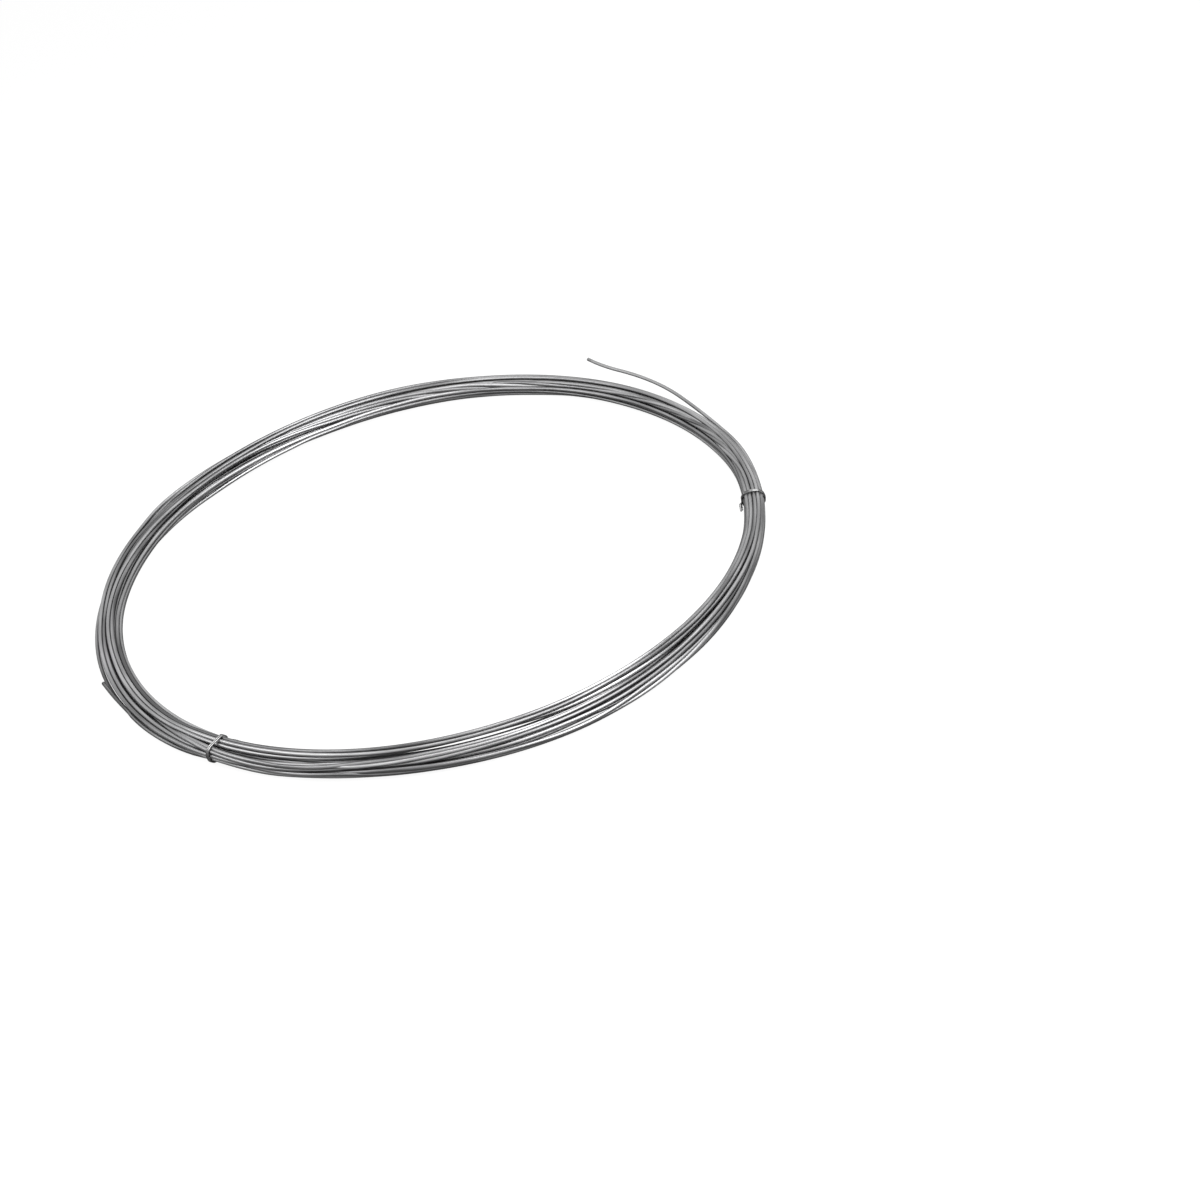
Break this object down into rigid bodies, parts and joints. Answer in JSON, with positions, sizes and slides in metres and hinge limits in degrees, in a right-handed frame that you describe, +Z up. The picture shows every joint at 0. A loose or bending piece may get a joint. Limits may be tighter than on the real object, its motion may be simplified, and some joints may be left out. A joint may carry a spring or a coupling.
{
  "type": "wire rod coil",
  "caption": "Loose round coil of bare steel wire rod lying flat, held by twisted binding wires, with a free end sprung out.",
  "frame": {"origin": "on the floor, at the centre of the coil", "axes": "+Z up along the axis of the coil, -Y towards the viewer, +X to the right"},
  "size_m": [0.9742, 0.9765, 0.0307],
  "materials": {
    "rod_steel": "satin",
    "tie_wire": "bright"
  },
  "bodies": {
    "root": {"wire_coil": "rod_steel", "near_tie": "tie_wire", "right_tie": "tie_wire"}
  },
  "joints": []
}
